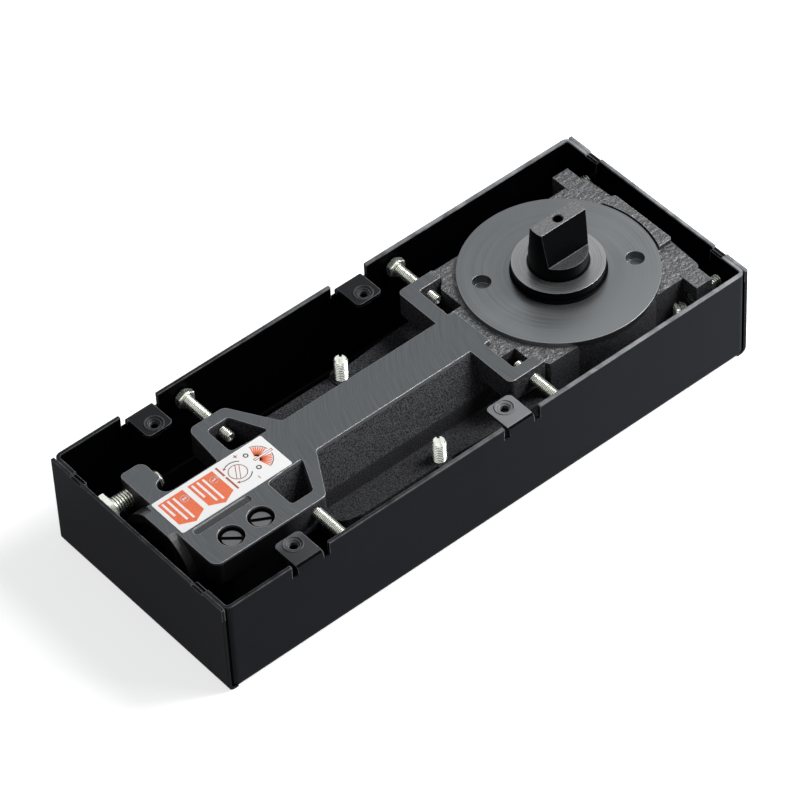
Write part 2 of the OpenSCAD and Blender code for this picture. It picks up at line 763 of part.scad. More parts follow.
module heart_cam() {
    dip = atan(cam_rate / roller_from_spindle);
    seat_r = roller_d / 2 + face_gap / 2;
    color(steel) at_spindle() difference() {
        translate([0, 0, cam_low_z]) linear_extrude(cam_t)
            polygon([
                for (i = [0:6]) [roller_x, 0] + seat_r * [cos(-dip + i * dip / 3),
                                                          sin(-dip + i * dip / 3)],
                for (t = [3:3:180]) flank(t, 1),
                for (t = [177:-3:3]) flank(t, -1)]);
        rod_z(0, 0, cam_low_z - 1, cam_top_z + 1, spindle_d + 2 * seat_gap);
        block(0, key_x + key_deep + seat_gap, -key_w / 2 - seat_gap, key_w / 2 + seat_gap,
              cam_low_z - 1, cam_top_z + 1);
    }
}

// ---- bearings ----------------------------------------------------------------------

ball_z = bearing_z + bearing_w / 2;

module bearing_ring(inner_d, outer_d) {
    at_spindle() rotate_extrude() difference() {
        translate([inner_d / 2, bearing_z]) square([(outer_d - inner_d) / 2, bearing_w]);
        translate([ball_ring_r, ball_z]) circle(ball_d / 2 + run_gap);
    }
}

module upper_bearing_inner_ring() {
    color(steel) bearing_ring(spindle_d + 2 * seat_gap, spindle_d + 2 * ring_wall);
}

module upper_bearing_outer_ring() {
    color(steel) bearing_ring(bearing_d - 2 * ring_wall, bearing_d);
}

module upper_bearing_balls() {
    color("#c8ccd0") at_spindle()
        for (i = [0:ball_count - 1])
            rotate([0, 0, i * 360 / ball_count]) translate([ball_ring_r, 0, ball_z])
                sphere(d = ball_d, $fn = 24);
}

module lower_bearing_bush() {
    color(bronze) at_spindle() ring(spindle_d + 2 * run_gap, bush_d, bush_low_z, bush_top_z);
}

module thrust_washer() {
    color(bronze) at_spindle()
        ring(spindle_d + 2 * run_gap, bush_boss_d, bush_top_z, bush_top_z + washer_t);
}

// ---- piston, check valve and roller ------------------------------------------------

cage_x = fork_root - cage_l;
ball_room = check_ball_d + 1.2;
ball_reach = sqrt(check_ball_d * check_ball_d - passage_d * passage_d) / 2 + face_gap / 2;

module piston() {
    color(steel) at_spindle() difference() {
        union() {
            rod_x(piston_front, fork_front, 0, axis_z, piston_d);
            intersection() {
                rod_x(fork_front - 1, fork_back, 0, axis_z, piston_d);
                block(fork_front - 1, fork_back, -piston_d, piston_d, tine_low_z,
                      tine_low_z + fork_h);
            }
        }
        block(fork_root, fork_back + 1, -piston_d, piston_d, axis_z - fork_slot_h / 2,
              axis_z + fork_slot_h / 2);
        rod_z(roller_x, 0, 0, top_z, roller_pin_d + 2 * seat_gap);
        rod_x(piston_front - 1, fork_root, 0, axis_z, passage_d);
        rod_x(cage_x - ball_room, fork_root, 0, axis_z, ball_room);
        rod_x(cage_x, fork_root + 1, 0, axis_z, cage_d + 2 * seat_gap);
        difference() {
            rod_x(ring_x, ring_x + ring_w, 0, axis_z, piston_d + 1);
            rod_x(ring_x - 1, ring_x + ring_w + 1, 0, axis_z, piston_d - 2 * ring_deep);
        }
    }
}

module piston_ring() {
    color(rubber) at_spindle() difference() {
        rod_x(ring_x + face_gap, ring_x + ring_w - face_gap, 0, axis_z, bore_d - run_gap);
        rod_x(ring_x - 1, ring_x + ring_w + 1, 0, axis_z, piston_d - 2 * ring_deep + face_gap);
    }
}

module check_valve_ball() {
    color("#c8ccd0") at_spindle() translate([cage_x - ball_room + ball_reach, 0, axis_z])
        sphere(d = check_ball_d, $fn = 32);
}

module check_valve_cage() {
    color(steel) at_spindle() difference() {
        rod_x(cage_x, fork_root - 0.5, 0, axis_z, cage_d);
        rod_x(cage_x - 1, fork_root + 1, 0, axis_z, passage_d);
        block(cage_x - 1, cage_x + 1.5, -cage_d, cage_d, axis_z - 0.8, axis_z + 0.8);
    }
}

module cam_roller() {
    color(steel) at_spindle() translate([roller_x, 0, 0])
        ring(roller_pin_d + 2 * run_gap, roller_d, cam_low_z, cam_top_z);
}

module roller_pin() {
    color(steel) at_spindle()
        rod_z(roller_x, 0, tine_low_z + 0.3, tine_low_z + fork_h - 0.3, roller_pin_d);
}

// ---- closing spring and end plug ---------------------------------------------------

wire_sides = 8;
turn_steps = 16;

function spring_point(i, k) =
    let (turns = i / turn_steps,
         run = piston_front - spring_front - wire_d,
         a = 360 * turns,
         b = 360 * k / wire_sides,
         r = spring_r + wire_d / 2 * cos(b))
    [spring_front + wire_d / 2 + run * turns / spring_turns + wire_d / 2 * sin(b),
     r * cos(a), axis_z + r * sin(a)];

module closing_spring() {
    rings = spring_turns * turn_steps;
    points = [for (i = [0:rings]) for (k = [0:wire_sides - 1]) spring_point(i, k)];
    sides = [for (i = [0:rings - 1]) for (k = [0:wire_sides - 1])
        let (a = i * wire_sides, n = (k + 1) % wire_sides)
        [a + k, a + wire_sides + k, a + wire_sides + n, a + n]];
    caps = [[for (k = [0:wire_sides - 1]) k],
            [for (k = [wire_sides - 1:-1:0]) rings * wire_sides + k]];
    color(steel) at_spindle() polyhedron(points, concat(sides, caps), convexity = 10);
}

module spring_seat() {
    color(steel) at_spindle() difference() {
        union() {
            rod_x(plug_back, spring_front, 0, axis_z, bore_d - 2 * run_gap);
            rod_x(plug_back, spring_front + seat_spigot, 0, axis_z, spring_d - 2 * wire_d - 1);
        }
        rod_x(plug_back - 1, spring_front + seat_spigot + 1, 0, axis_z, seat_hole_d);
    }
}

plug_ring_r = 0.9;
plug_ring_x = plug_back - 3;

module end_plug() {
    color("#3a3c40") at_spindle() difference() {
        rod_x(plug_front, plug_back, 0, axis_z, plug_d);
        translate([plug_front - 1, 0, axis_z]) rotate([0, 90, 0]) hexagon_rod(14, 8);
        difference() {
            rod_x(plug_front - 1, plug_front + 1.2, 0, axis_z, plug_d - 5);
            rod_x(plug_front - 2, plug_front + 2, 0, axis_z, plug_d - 10);
        }
        difference() {
            rod_x(plug_ring_x - plug_ring_r - 0.05, plug_ring_x + plug_ring_r + 0.05, 0, axis_z,
                  plug_d + 1);
            rod_x(plug_ring_x - 2, plug_ring_x + 2, 0, axis_z, plug_d - 4 * plug_ring_r - 0.1);
        }
    }
}

module end_plug_o_ring() {
    color(rubber) at_spindle() translate([plug_ring_x, 0, axis_z]) rotate([0, 90, 0])
        torus(plug_d / 2 - plug_ring_r, plug_ring_r);
}

// ---- speed valves ------------------------------------------------------------------

module speed_valve(reach, slot_angle) {
    ring_groove = valve_ring_r + 0.05;
    color("#c8ccd0") at_spindle() translate([-reach, -valve_y, 0]) difference() {
        union() {
            rod_z(0, 0, valve_top_z - valve_head_t, valve_top_z, valve_head_d);
            rod_z(0, 0, valve_seat_z + 3, valve_top_z - 1, valve_stem_d);
            translate([0, 0, valve_seat_z + 0.5])
                cylinder(h = 2.5 + eps, d1 = 1.6, d2 = valve_needle);
        }
        rotate([0, 0, slot_angle])
            block(-valve_head_d, valve_head_d, -valve_slot_w / 2, valve_slot_w / 2,
                  valve_top_z - slot_deep, valve_top_z + 1);
        difference() {
            rod_z(0, 0, ring_z - ring_groove, ring_z + ring_groove, valve_stem_d + 1);
            rod_z(0, 0, ring_z - 2, ring_z + 2, valve_stem_d - 4 * valve_ring_r - 0.1);
        }
    }
}

module valve_o_ring(reach) {
    color(rubber) at_spindle() translate([-reach, -valve_y, ring_z])
        torus(valve_stem_d / 2 - valve_ring_r, valve_ring_r);
}

module closing_speed_valve() { speed_valve(closing_valve_x, -41); }
module latch_speed_valve() { speed_valve(latch_valve_x, -31); }
module closing_valve_o_ring() { valve_o_ring(closing_valve_x); }
module latch_valve_o_ring() { valve_o_ring(latch_valve_x); }

// ---- setting screws ----------------------------------------------------------------

// hex-headed screw through an ear, its head against the long wall
module side_screw(x, tip_y) {
    head_y = wall_in_y - face_gap;
    color(zinc) at_spindle() translate([x, 0, side_z]) {
        translate([0, head_y, 0]) rotate([90, 0, 0]) hexagon_rod(side_head_af, side_head_t);
        rod_y(0, tip_y, head_y - side_head_t / 2, 0, side_screw_d);
    }
}

front_tip_y = front_half - ear_wall - side_tip;
near_tip_y = front_half - ear_wall + 1;         // the near front screw ends inside its ear
rear_tip_y = rear_half - ear_wall - side_tip;

module side_screw_front_far() { side_screw(side_front_x, front_tip_y); }
module side_screw_front_near() { mirror([0, 1, 0]) side_screw(side_front_x, near_tip_y); }
module side_screw_rear_far() { side_screw(side_rear_x, rear_tip_y); }
module side_screw_rear_near() { mirror([0, 1, 0]) side_screw(side_rear_x, rear_tip_y); }

// flanged screw between the front lug and the end wall
module end_screw_front() {
    wall = -wall_in_x - spindle_x + face_gap;
    color(zinc) at_spindle() {
        rod_x(wall, wall + end_head_t, end_front[0], end_front[1], end_head_d);
        rod_x(wall + 1, lug_back + end_screw_tip, end_front[0], end_front[1], end_screw_d);
    }
}

// slotted set screw between a rear lug and the lap behind the end wall
module end_screw_rear() {
    wall = lap_x - sheet - spindle_x - face_gap;
    color(zinc) at_spindle() difference() {
        rod_x(rear_lug_x[0] + 1, wall, end_rear[0], end_rear[1], set_screw_d);
        block(wall - slot_deep, wall + 1, end_rear[0] - set_screw_d, end_rear[0] + set_screw_d,
              end_rear[1] - slot_w / 2, end_rear[1] + slot_w / 2);
    }
}

module end_screw_rear_far() { end_screw_rear(); }
module end_screw_rear_near() { mirror([0, 1, 0]) end_screw_rear(); }

// slotted set screw that carries the body on the floor of the box
module levelling_screw(place, slot_angle) {
    foot = sheet + face_gap / 2;
    color(zinc) at_spindle() translate([place.x, place.y, 0]) difference() {
        union() {
            rod_z(0, 0, foot + 1, level_top_z, set_screw_d);
            translate([0, 0, foot]) cylinder(h = 1 + eps, d1 = set_screw_d - 2, d2 = set_screw_d);
        }
        rotate([0, 0, slot_angle])
            block(-set_screw_d, set_screw_d, -slot_w / 2, slot_w / 2, level_top_z - slot_deep,
                  level_top_z + 1);
    }
}

module levelling_screw_mid_far() { levelling_screw(level_mid, 50); }
module levelling_screw_mid_near() { levelling_screw([level_mid.x, -level_mid.y], 60); }
module levelling_screw_rear_far() { levelling_screw(level_rear, 20); }
module levelling_screw_rear_near() { levelling_screw([level_rear.x, -level_rear.y], 75); }

module adjustment_label() {
    color("#f2f2ef") at_spindle()
        prism(rectangle(label_mid - label_l / 2, label_mid + label_l / 2, -label_w / 2,
                        label_w / 2, 0.8), top_z, top_z + label_t);
}

cement_box();
closer_body();
bearing_cover();
spindle_collar();
spindle();
heart_cam();
cam_key();
upper_bearing_inner_ring();
upper_bearing_outer_ring();
upper_bearing_balls();
lower_bearing_bush();
thrust_washer();
shaft_seal();
cover_o_ring();
piston();
piston_ring();
check_valve_ball();
check_valve_cage();
cam_roller();
roller_pin();
closing_spring();
spring_seat();
end_plug();
end_plug_o_ring();
closing_speed_valve();
latch_speed_valve();
closing_valve_o_ring();
latch_valve_o_ring();
side_screw_front_far();
side_screw_front_near();
side_screw_rear_far();
side_screw_rear_near();
end_screw_front();
end_screw_rear_far();
end_screw_rear_near();
levelling_screw_mid_far();
levelling_screw_mid_near();
levelling_screw_rear_far();
levelling_screw_rear_near();
adjustment_label();
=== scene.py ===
import bpy, bmesh, json, math
from mathutils import Matrix, Vector

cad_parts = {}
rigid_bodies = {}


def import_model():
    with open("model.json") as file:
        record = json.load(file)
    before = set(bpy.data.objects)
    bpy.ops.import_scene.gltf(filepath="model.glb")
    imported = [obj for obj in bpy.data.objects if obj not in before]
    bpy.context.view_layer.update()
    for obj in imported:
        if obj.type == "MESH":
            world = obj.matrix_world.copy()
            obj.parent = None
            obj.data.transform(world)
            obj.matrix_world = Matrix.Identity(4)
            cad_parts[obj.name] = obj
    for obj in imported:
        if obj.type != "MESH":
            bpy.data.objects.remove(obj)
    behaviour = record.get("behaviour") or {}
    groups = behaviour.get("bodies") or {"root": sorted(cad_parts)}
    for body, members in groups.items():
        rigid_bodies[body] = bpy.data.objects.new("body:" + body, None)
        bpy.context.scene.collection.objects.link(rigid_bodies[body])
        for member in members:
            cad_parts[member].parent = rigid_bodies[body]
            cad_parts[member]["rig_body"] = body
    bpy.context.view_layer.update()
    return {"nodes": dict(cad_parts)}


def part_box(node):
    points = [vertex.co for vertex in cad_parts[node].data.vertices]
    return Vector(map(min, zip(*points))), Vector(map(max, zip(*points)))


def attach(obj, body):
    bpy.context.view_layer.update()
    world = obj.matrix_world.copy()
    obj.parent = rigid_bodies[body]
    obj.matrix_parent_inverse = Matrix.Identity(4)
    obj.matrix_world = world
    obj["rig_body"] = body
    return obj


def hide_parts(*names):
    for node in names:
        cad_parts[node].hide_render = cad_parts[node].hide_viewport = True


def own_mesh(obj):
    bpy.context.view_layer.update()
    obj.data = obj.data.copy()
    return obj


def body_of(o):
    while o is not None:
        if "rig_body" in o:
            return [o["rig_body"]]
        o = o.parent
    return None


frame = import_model()
nodes = frame["nodes"]

# ---- Camera ------------------------------------------------------------------------
# A long lens set well back, looking down over the front corner of the cement box along
# its near wall, so that the neck and the spindle both show.
lens_camera = bpy.data.cameras.new("studio_camera")
lens_camera.sensor_width = 36
lens_camera.lens = 213.2
lens_camera.clip_start = 0.1
swing, height_angle, tilt = (math.radians(a) for a in (-37.965, 46.220, -3.201))
back = Vector((math.sin(swing) * math.cos(height_angle),
               -math.cos(swing) * math.cos(height_angle), math.sin(height_angle)))
level = Vector((0, 0, 1)).cross(back).normalized()
upright = back.cross(level)
right = math.cos(tilt) * level + math.sin(tilt) * upright
up = math.cos(tilt) * upright - math.sin(tilt) * level
aim = Vector((0.01352, 0.02165, 0))
stand = aim + back * 1.96435
camera = bpy.data.objects.new("studio_camera", lens_camera)
camera.matrix_world = Matrix(((right.x, up.x, back.x, stand.x), (right.y, up.y, back.y, stand.y),
                              (right.z, up.z, back.z, stand.z), (0, 0, 0, 1)))
bpy.context.scene.collection.objects.link(camera)
bpy.context.scene.camera = camera

# ---- Studio floor and light --------------------------------------------------------
# A white paper sweep under the box, a softbox over the spindle end, a wider one low off the
# near wall and a weak one off the front end. The paper and the room read as white to the lens
# and in the metal, and the paper keeps the shadow.
bpy.context.scene.view_settings.view_transform = "Standard"


def shader(paint, kind, **sockets):
    """Adds a shader node; a socket is named, or numbered as n0, n1 and so on."""
    made = paint.node_tree.nodes.new("ShaderNode" + kind)
    for name, value in sockets.items():
        numbered = name[0] == "n" and name[1:].isdigit()
        place = made.inputs[int(name[1:])] if numbered else made.inputs[name.replace("_", " ")]
        if isinstance(value, bpy.types.NodeSocket):
            paint.node_tree.links.new(value, place)
        else:
            place.default_value = value
    return made


def calc(paint, how, a, b=0.0, c=0.0):
    made = shader(paint, "Math", n0=a, n1=b, n2=c)
    made.operation = how
    return made.outputs[0]


def seen_directly(paint):
    path = shader(paint, "LightPath").outputs
    seen = calc(paint, "MAXIMUM", path["Is Camera Ray"], path["Is Glossy Ray"])
    return calc(paint, "MAXIMUM", seen, path["Is Transmission Ray"])


room = bpy.data.worlds.new("white_room")
room.use_nodes = True
room.node_tree.nodes.clear()
plain = shader(room, "Background", Color=(0.92, 0.95, 1, 1), Strength=0.13)
white = shader(room, "Background", Color=(1, 1, 1, 1), Strength=1)
seen_room = shader(room, "MixShader", n0=seen_directly(room), n1=plain.outputs[0],
                   n2=white.outputs[0])
shader(room, "OutputWorld", Surface=seen_room.outputs[0])
bpy.context.scene.world = room

paper = bpy.data.materials.new("paper_sweep")
paper.use_nodes = True
paper.node_tree.nodes.clear()
matt = shader(paper, "BsdfDiffuse", Color=(0.82, 0.82, 0.82, 1))
glow = shader(paper, "Emission", Color=(1, 1, 1, 1), Strength=0.7)
lifted = shader(paper, "AddShader", n0=matt.outputs[0], n1=glow.outputs[0])
sweep = shader(paper, "MixShader", n0=seen_directly(paper), n1=matt.outputs[0],
               n2=lifted.outputs[0])
shader(paper, "OutputMaterial", Surface=sweep.outputs[0])
floor_half, floor_z = 4, -0.0002
floor_mesh = bpy.data.meshes.new("studio_floor")
floor_mesh.from_pydata([(x * floor_half, y * floor_half, floor_z)
                        for x, y in ((-1, -1), (1, -1), (1, 1), (-1, 1))], [], [(0, 1, 2, 3)])
floor_mesh.materials.append(paper)
studio_floor = bpy.data.objects.new("studio_floor", floor_mesh)
bpy.context.scene.collection.objects.link(studio_floor)


def lamp(name, place, width, power):
    """A square softbox that looks at the middle of the floor."""
    glow = bpy.data.lights.new(name, "AREA")
    glow.shape = "RECTANGLE"
    glow.size = glow.size_y = width
    glow.energy = power
    held = bpy.data.objects.new(name, glow)
    held.location = place
    held.rotation_euler = (-Vector(place)).to_track_quat("-Z", "Y").to_euler()
    bpy.context.scene.collection.objects.link(held)


lamp("spindle_end_softbox", (0.51, -0.24, 0.69), 0.42, 7.5)
lamp("front_fill", (0.75, -0.7, 0.45), 0.6, 6.2)
lamp("end_fill", (-1.3, -0.4, 0.9), 0.9, 1.5)


# ---- Cement box --------------------------------------------------------------------
# Folded from one 1.5 mm steel sheet, the long walls lapped behind the end walls and spot
# welded, then powder coated black. A painted highlight runs round the rim's edges, its top and
# the tabs' edges, the near tabs are painted lighter as a highlight, the coat lightens towards the
# spindle end as painted light, and the inside is painted near black as shade.
def new_finish(name, **sockets):
    paint = bpy.data.materials.new(name)
    paint.use_nodes = True
    paint.node_tree.nodes.clear()
    skin = shader(paint, "BsdfPrincipled", **sockets)
    shader(paint, "OutputMaterial", Surface=skin.outputs[0])
    return paint, skin


def wire(paint, value, skin, socket):
    paint.node_tree.links.new(value, skin.inputs[socket])


def axes_of(paint, vector):
    return shader(paint, "SeparateXYZ", Vector=vector).outputs


def times(paint, *values):
    product = values[0]
    for value in values[1:]:
        product = calc(paint, "MULTIPLY", product, value)
    return product


def over(paint, value, limit):
    return calc(paint, "GREATER_THAN", value, limit)


def under(paint, value, limit):
    return calc(paint, "LESS_THAN", value, limit)


def grain(paint, where, scale, detail=3.0, rough=0.55):
    return shader(paint, "TexNoise", Vector=where, Scale=scale, Detail=detail,
                  Roughness=rough).outputs[0]


def spread(paint, value, low, high, to_low=0.0, to_high=1.0):
    return shader(paint, "MapRange", n0=value, n1=low, n2=high, n3=to_low,
                  n4=to_high).outputs[0]


def shade(paint, amount, dark, light):
    """Mixes two colours, or the outputs that carry them."""
    made = paint.node_tree.nodes.new("ShaderNodeMix")
    made.data_type = "RGBA"
    paint.node_tree.links.new(amount, made.inputs[0])
    for place, value in ((6, dark), (7, light)):
        if isinstance(value, bpy.types.NodeSocket):
            paint.node_tree.links.new(value, made.inputs[place])
        else:
            made.inputs[place].default_value = (*value, 1)
    return made.outputs[2]


def edge_glint(paint, radius):
    """The normal rounded over the sharp edges, and how close a place is to such an edge."""
    rounded = shader(paint, "Bevel", Radius=radius).outputs[0]
    flat = shader(paint, "NewGeometry").outputs["Normal"]
    alike = shader(paint, "VectorMath", n0=rounded, n1=flat)
    alike.operation = "DOT_PRODUCT"
    return rounded, spread(paint, alike.outputs["Value"], 0.985, 0.86)


def relief(paint, height, depth, strength=1.0, base=None):
    made = shader(paint, "Bump", Height=height, Distance=depth, Strength=strength)
    if base:
        wire(paint, base, made, "Normal")
    return made.outputs[0]


def coat(name, finish):
    piece = nodes[name]
    piece.data.materials.clear()
    piece.data.materials.append(finish)


edge_radius = 0.0005
sheet = 0.0015
rim_band = 0.0008                        # how deep the painted rim highlight and the outer coat reach
tab_zone_z, tab_zone_x = 0.0065, 0.02    # how far the tabs lie below the rim and off the ends
box_paint, skin = new_finish("black_powder_coat", Metallic=0.0, IOR=1.45)
coords = shader(box_paint, "TexCoord")
at = coords.outputs["Object"]
place = axes_of(box_paint, at)
up_facing = axes_of(box_paint, coords.outputs["Normal"])[2]
off_x, off_y = (calc(box_paint, "ABSOLUTE", place[k]) for k in (0, 1))
low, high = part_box("cement_box")
peel = grain(box_paint, at, 900, 2)
blotch = grain(box_paint, at, 22, 4)
rounded, glint = edge_glint(box_paint, edge_radius)
near_rim = over(box_paint, place[2], high.z - tab_zone_z)
on_tab = times(box_paint, near_rim, under(box_paint, off_x, high.x - tab_zone_x),
               under(box_paint, off_y, high.y - sheet - 0.0002))
# Painted highlight: the edges round the rim and the tabs, and the rim's top more towards the
# spindle end, are painted pale grey, broken up by noise.
wear_and_sheen = spread(box_paint, grain(box_paint, at, 160, 5), 0.3, 0.62, 0.35, 1.0)
rim_top_highlight = times(box_paint, over(box_paint, place[2], high.z - rim_band),
                spread(box_paint, place[0], -0.06, 0.08, 0.1, 1.0))
rim_highlight = calc(box_paint, "MAXIMUM", times(box_paint, near_rim, glint, wear_and_sheen),
            times(box_paint, rim_top_highlight, wear_and_sheen))
coated = shade(box_paint, blotch, (0.0110, 0.0115, 0.0142), (0.0162, 0.0170, 0.0205))
# Painted light: the coat is painted lighter towards the spindle end.
coated = shade(box_paint, spread(box_paint, place[0], 0.0, 0.14, 0.0, 0.8), coated,
               (0.0195, 0.0215, 0.0243))
# Painted shade: the inside of the box is painted near black.
inside_shade = times(box_paint, under(box_paint, off_y, high.y - rim_band),
               under(box_paint, off_x, high.x - rim_band))
coated = shade(box_paint, inside_shade, coated, (0.0009, 0.0009, 0.0011))
# Painted highlight: the tops of the near tabs are painted light grey, most at the spindle end and
# towards their tips.
tab_highlight_amount = calc(box_paint, "MAXIMUM", spread(box_paint, place[0], -0.10, 0.02, 0.16, 1.0),
               spread(box_paint, place[1], -0.046, -0.037, 0.0, 0.75))
tab_highlight_amount = times(box_paint, under(box_paint, place[1], 0.0), tab_highlight_amount)
tab_highlight_colour = shade(box_paint, tab_highlight_amount, (0.018, 0.0185, 0.021), (0.21, 0.216, 0.225))
tab_skin = shade(box_paint, spread(box_paint, up_facing, 0.5, 0.9), coated, tab_highlight_colour)
coated = shade(box_paint, on_tab, coated, tab_skin)
wire(box_paint, shade(box_paint, rim_highlight, coated, (0.30, 0.31, 0.32)), skin, "Base Color")
wire(box_paint, spread(box_paint, blotch, 0.3, 0.7, 0.30, 0.38), skin, "Roughness")
wire(box_paint, calc(box_paint, "MULTIPLY_ADD", on_tab, 0.06, 0.01), skin, "Specular IOR Level")
wire(box_paint, relief(box_paint, peel, 0.00004, 0.5, rounded), skin, "Normal")
coat("cement_box", box_paint)

# ---- Closer body -------------------------------------------------------------------
# One grey-iron casting, painted black with its sand grain left on, then milled flat across
# the neck, the ears and the brackets; the cutter leaves fine arcs. A painted highlight runs along
# the milled edges and lightens the up-facing tops near the cover, and the front end is painted near
# black as shade.
casting, skin = new_finish("cast_body", IOR=1.5)
coords = shader(casting, "TexCoord")
at = coords.outputs["Object"]
place = axes_of(casting, at)
facing = axes_of(casting, coords.outputs["Normal"])
face_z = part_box("adjustment_label")[0].z
milled_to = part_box("bearing_cover")[0].x + 0.002
milled = times(casting, over(casting, facing[2], 0.97), over(casting, place[2], face_z - 0.0004),
               under(casting, place[0], milled_to))
cutter_r, cutter_y = 0.052, -0.024
fine, along_stroke = 3200.0, 45.0
across = calc(casting, "SUBTRACT", place[1], cutter_y)
sweep_x = calc(casting, "SQRT", calc(casting, "SUBTRACT", cutter_r ** 2,
                                     times(casting, across, across)))
arc = calc(casting, "ADD", place[0], sweep_x)
strokes = shader(casting, "CombineXYZ", X=times(casting, arc, fine),
                 Y=times(casting, place[1], along_stroke), Z=0.0).outputs[0]
lines = grain(casting, strokes, 1.0, 4.0, 0.7)
sand = grain(casting, at, 1600, 2, 0.6)
lumps = grain(casting, at, 90, 3)
rough_skin = shade(casting, spread(casting, sand, 0.34, 0.66), (0.009, 0.009, 0.0102),
                   (0.078, 0.079, 0.086))
# Painted shade: the front end of the casting is painted near black.
front_shade = spread(casting, place[0], milled_to - 0.122, milled_to - 0.132)
rough_skin = shade(casting, front_shade, rough_skin, (0.0035, 0.0035, 0.004))
boss = under(casting, place[0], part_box("closing_speed_valve")[0].x - 0.006)
# Painted highlight: the up-facing tops near the cover are painted lighter and grainier, and made
# partly metallic.
wear_and_sheen = times(casting, spread(casting, facing[2], 0.6, 0.9),
               over(casting, place[2], face_z - 0.0055),
               over(casting, place[0], milled_to - 0.014))
in_groove = times(casting, over(casting, place[2], face_z - 0.0012),
                  under(casting, place[0], milled_to - 0.02))
rough_skin = shade(casting, in_groove, rough_skin, (0.075, 0.078, 0.082))
sheen_top_skin = shade(casting, spread(casting, sand, 0.42, 0.62), (0.085, 0.087, 0.09),
                  (0.18, 0.184, 0.19))
rough_skin = shade(casting, wear_and_sheen, rough_skin, sheen_top_skin)
# Painted highlight: the edges of the milled faces are painted pale grey.
rounded, glint = edge_glint(casting, edge_radius)
edge_highlight = times(casting, glint, over(casting, place[2], face_z - 0.0015))
bright = shade(casting, spread(casting, lines, 0.3, 0.7), (0.078, 0.083, 0.088),
               (0.132, 0.140, 0.147))
surface = shade(casting, milled, rough_skin, bright)
wire(casting, shade(casting, edge_highlight, surface, (0.42, 0.43, 0.44)), skin, "Base Color")
shiny = calc(casting, "MAXIMUM", times(casting, milled, 0.9), times(casting, wear_and_sheen, 0.7))
smooth = calc(casting, "MAXIMUM", shiny, boss)
wire(casting, shiny, skin, "Metallic")
wire(casting, calc(casting, "MULTIPLY_ADD", smooth, -0.2, 0.62), skin, "Roughness")
wire(casting, calc(casting, "MULTIPLY_ADD", boss, 0.4, 0.05), skin, "Specular IOR Level")
pits = times(casting, grain(casting, at, 420, 3), wear_and_sheen, 0.0017)
height = calc(casting, "ADD", calc(casting, "MULTIPLY_ADD", sand, 0.0003, pits),
              times(casting, lumps, 0.0006))
unmilled = calc(casting, "SUBTRACT", 1.0, milled)
mixed = calc(casting, "ADD", times(casting, milled, times(casting, lines, 0.000015)),
             times(casting, unmilled, height))
wire(casting, relief(casting, mixed, 1.0, 0.8, rounded), skin, "Normal")
coat("closer_body", casting)

# ---- Bearing cover and collar ------------------------------------------------------
# Turned steel: the cover is a threaded disc with two spanner holes, screwed down flush over
# the cam housing; the collar stands on it. Both keep the rings of the turning tool and carry a
# painted highlight along their edges; the cover's near side is painted lighter as a highlight,
# and the collar's side and foot are painted near black as shade.
low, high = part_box("spindle")
hub = Vector(((low.x + high.x) / 2, (low.y + high.y) / 2, 0))
ring_pitch, ring_drift = 2200.0, 14.0
steel_metallic = 0.92


def turned(name, dark, light, roughness):
    """Bright turned steel with fine rings about the hub and a painted highlight along its edges,
    and its base colour's output.
    """
    finish, skin = new_finish(name, Metallic=steel_metallic, Anisotropic=0.45)
    coords = shader(finish, "TexCoord")
    at = coords.outputs["Object"]
    place = axes_of(finish, at)
    dx = calc(finish, "SUBTRACT", place[0], hub.x)
    dy = calc(finish, "SUBTRACT", place[1], hub.y)
    radius = calc(finish, "SQRT", calc(finish, "ADD", times(finish, dx, dx),
                                       times(finish, dy, dy)))
    rings = shader(finish, "CombineXYZ", X=times(finish, radius, ring_pitch),
                   Y=times(finish, dx, ring_drift),
                   Z=calc(finish, "ADD", times(finish, dy, ring_drift),
                          times(finish, place[2], ring_pitch)))
    tool = grain(finish, rings.outputs[0], 1.0, 3.0, 0.65)
    cloud = grain(finish, at, 30, 3)
    both = calc(finish, "ADD", times(finish, tool, 0.75), times(finish, cloud, 0.25))
    # Painted highlight: the edges are painted pale grey.
    rounded, glint = edge_glint(finish, 0.0004)
    surface = shade(finish, spread(finish, both, 0.35, 0.65), dark, light)
    colour = shade(finish, times(finish, glint, 0.55), surface, (0.36, 0.375, 0.39))
    wire(finish, colour, skin, "Base Color")
    wire(finish, spread(finish, tool, 0.3, 0.7, roughness - 0.05, roughness + 0.06), skin,
         "Roughness")
    wire(finish, relief(finish, tool, 0.000012, 0.7, rounded), skin, "Normal")
    round_z = shader(finish, "Tangent")
    round_z.direction_type = "RADIAL"
    round_z.axis = "Z"
    wire(finish, round_z.outputs[0], skin, "Tangent")
    return finish, skin, coords, colour


cover_steel, skin, coords, colour = turned("turned_cover", (0.134, 0.142, 0.149),
                                           (0.174, 0.184, 0.191), 0.35)
cover_y = axes_of(cover_steel, coords.outputs["Object"])[1]
# Painted highlight: the cover's near side is painted lighter.
near_side_highlight = spread(cover_steel, cover_y, -0.008, -0.038, 0.0, 0.8)
wire(cover_steel, shade(cover_steel, near_side_highlight, colour, (0.225, 0.237, 0.245)), skin, "Base Color")
coat("bearing_cover", cover_steel)

collar_steel, skin, coords, colour = turned("turned_collar", (0.22, 0.228, 0.235),
                                            (0.31, 0.318, 0.325), 0.3)
up_facing = axes_of(collar_steel, coords.outputs["Normal"])[2]
collar_z = axes_of(collar_steel, coords.outputs["Object"])[2]
